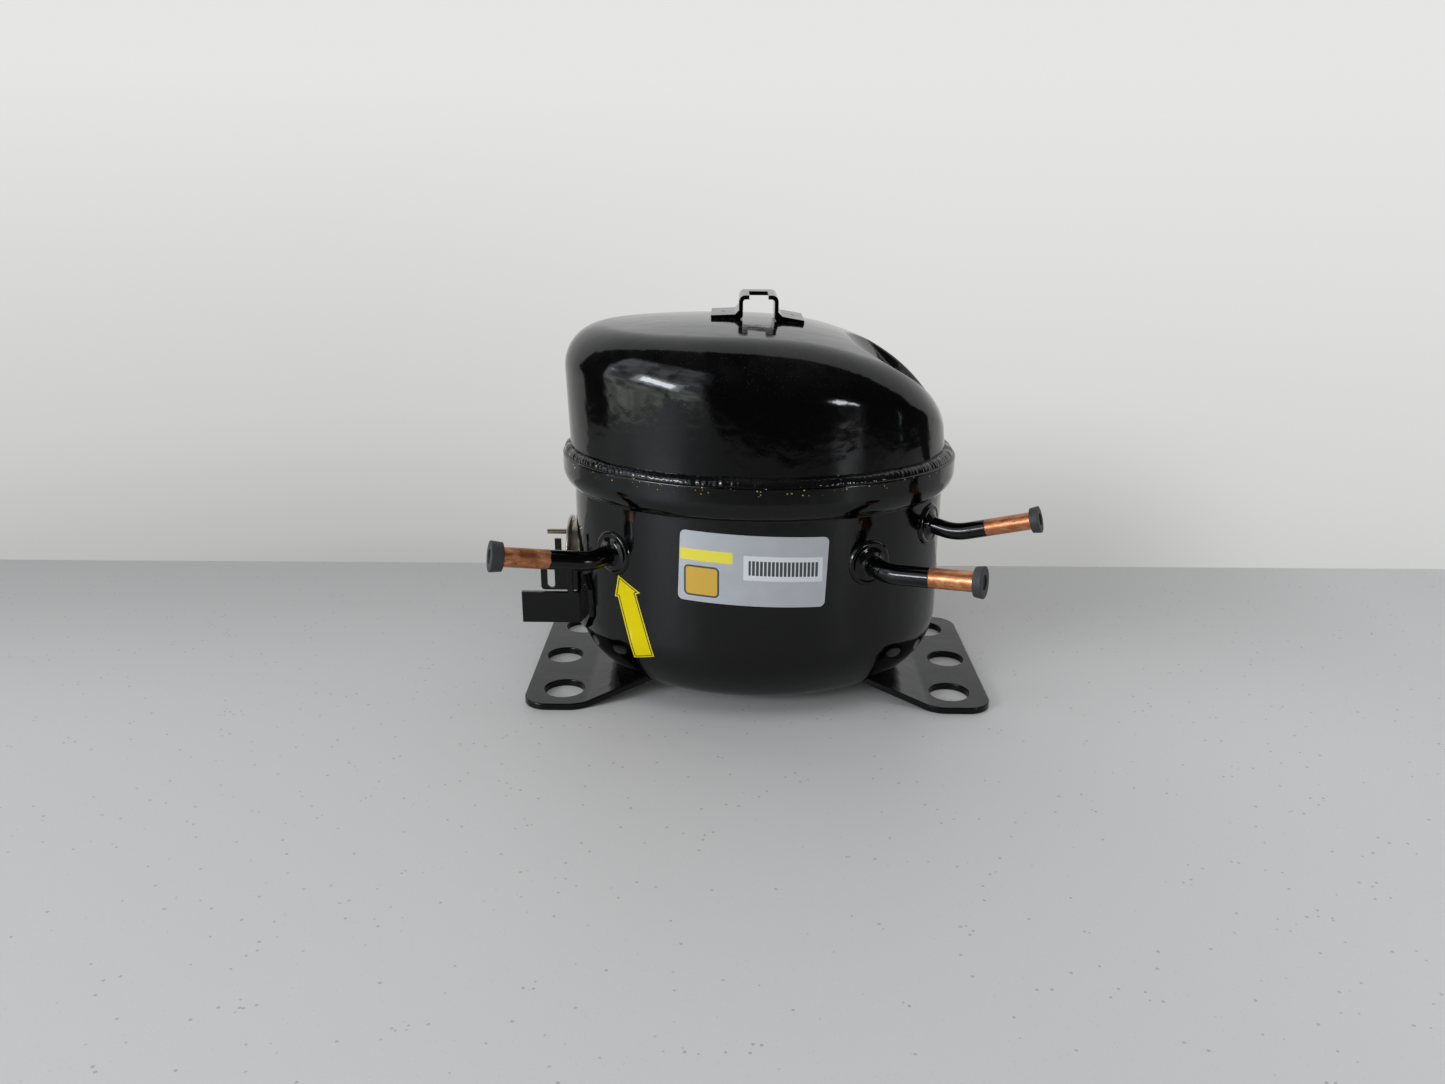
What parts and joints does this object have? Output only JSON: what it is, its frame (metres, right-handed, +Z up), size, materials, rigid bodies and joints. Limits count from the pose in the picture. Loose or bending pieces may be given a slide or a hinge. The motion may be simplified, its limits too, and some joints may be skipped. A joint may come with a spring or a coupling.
{
  "type": "hermetic reciprocating compressor",
  "caption": "Sealed oval compressor with a sloping dome, welded seam, stamped feet, copper stub tubes with rubber caps, and a working slide-tube pump and motor inside.",
  "frame": {"origin": "centre of the four-hole foot pattern, on the table plane under the feet", "axes": "+Z up through the crankshaft, +X to the discharge side, -Y to the label side"},
  "size_m": [0.2207, 0.151, 0.1658],
  "materials": {
    "gloss_black": "high-gloss black enamel",
    "weld_black": "black enamel over a weld bead",
    "copper": "drawn copper tube, painted black near the shell",
    "cap_rubber": "matt black rubber",
    "terminal_steel": "tin-dull plated steel",
    "bead_glass": "fused glass",
    "pin_metal": "nickel-iron pin",
    "label_silver": "silver film label, blank",
    "label_yellow": "yellow film sticker, blank",
    "bare_steel": "machined steel",
    "cast_grey": "cast iron",
    "lamination": "stacked lamination steel",
    "enamel_copper": "enamelled winding wire",
    "cast_alu": "die-cast aluminium",
    "spring_steel": "spring wire",
    "gasket_fibre": "gasket sheet",
    "moulded_cream": "glass-filled moulding",
    "lead_sleeve": "woven lead sleeve"
  },
  "bodies": {
    "shell": {"upper_shell": "gloss_black", "lower_shell": "gloss_black", "seam_weld": "weld_black", "base_plate_left": "gloss_black", "base_plate_right": "gloss_black", "suction_tube": "copper", "process_tube": "copper", "discharge_tube": "copper", "suction_collar": "gloss_black", "process_collar": "gloss_black", "discharge_collar": "gloss_black", "terminal_cup": "terminal_steel", "terminal_beads": "bead_glass", "terminal_pins": "pin_metal", "terminal_plug": "moulded_cream", "relay_bracket": "gloss_black", "rating_label": "label_silver", "arrow_label": "label_yellow", "top_bracket": "gloss_black", "spring_seats_lower": "bare_steel"},
    "pump_body": {"crankcase": "cast_grey", "stator_core": "lamination", "winding_lower": "enamel_copper", "winding_upper": "enamel_copper", "stator_bolts": "bare_steel", "spring_seats_upper": "moulded_cream", "suspension_springs": "spring_steel", "cylinder_gasket": "gasket_fibre", "valve_plate": "bare_steel", "discharge_stop": "spring_steel", "head_gasket": "gasket_fibre", "cylinder_head": "cast_alu", "head_bolts": "bare_steel", "suction_muffler": "moulded_cream", "discharge_muffler": "bare_steel", "shock_loop": "bare_steel", "lead_wires": "lead_sleeve", "thrust_washer": "bare_steel"},
    "crank": {"crankshaft": "bare_steel", "counterweight": "cast_grey", "rotor_core": "lamination", "rotor_rings": "cast_alu", "oil_pump": "bare_steel"},
    "slider": {"slider_block": "bare_steel"},
    "guide_plug": {"oil_way_plug": "bare_steel"},
    "piston_body": {"piston": "bare_steel"},
    "suction_valve": {"suction_reed": "spring_steel"},
    "discharge_valve": {"discharge_reed": "spring_steel"},
    "suction_cap_body": {"suction_cap": "cap_rubber"},
    "process_cap_body": {"process_cap": "cap_rubber"},
    "discharge_cap_body": {"discharge_cap": "cap_rubber"}
  },
  "joints": [
    {"name": "suspension_float", "type": "slide", "parent": "shell", "child": "pump_body", "axis": [0, 0, 1], "range_m": [-0.002, 0.002], "stiffness_N_per_m": 12000, "springref_m": 0.00311, "deforming": ["suspension_springs", "shock_loop", "lead_wires"]},
    {"name": "crank_spin", "type": "hinge", "parent": "pump_body", "child": "crank", "pos_m": [0, 0, 0.1], "axis": [0, 0, 1], "continuous": true},
    {"name": "slider_turn", "type": "hinge", "parent": "crank", "child": "slider", "pos_m": [-0.0072, 0, 0.119], "axis": [0, 0, 1], "continuous": true},
    {"name": "plug_turn", "type": "hinge", "parent": "crank", "child": "guide_plug", "pos_m": [-0.0036, 0, 0.1053], "axis": [0, 0, 1], "continuous": true},
    {"name": "piston_stroke", "type": "hinge", "parent": "guide_plug", "child": "piston_body", "pos_m": [-0.0072, 0, 0.119], "axis": [0, 0, 1], "continuous": true},
    {"name": "suction_reed_lift", "type": "hinge", "parent": "pump_body", "child": "suction_valve", "pos_m": [-0.0487, 0, 0.1128], "axis": [0, 1, 0], "range_deg": [0, 1.2], "stiffness_Nm_per_rad": 0.02},
    {"name": "discharge_reed_lift", "type": "hinge", "parent": "pump_body", "child": "discharge_valve", "pos_m": [-0.0506, 0, 0.1027], "axis": [0, -1, 0], "range_deg": [0, 6], "stiffness_Nm_per_rad": 0.02},
    {"name": "suction_cap_pull", "type": "slide", "parent": "shell", "child": "suction_cap_body", "axis": [-0.9319, -0.3255, 0.1601], "range_m": [0, 0.02]},
    {"name": "process_cap_pull", "type": "slide", "parent": "shell", "child": "process_cap_body", "axis": [0.8903, -0.4478, 0.0826], "range_m": [0, 0.02]},
    {"name": "discharge_cap_pull", "type": "slide", "parent": "shell", "child": "discharge_cap_body", "axis": [0.887, -0.362, 0.2866], "range_m": [0, 0.02]}
  ],
  "couplings": [
    {"joint": "slider_turn", "follows": "crank_spin", "ratio": -1},
    {"joint": "plug_turn", "follows": "crank_spin", "ratio": -2},
    {"joint": "piston_stroke", "follows": "crank_spin", "ratio": 1}
  ]
}
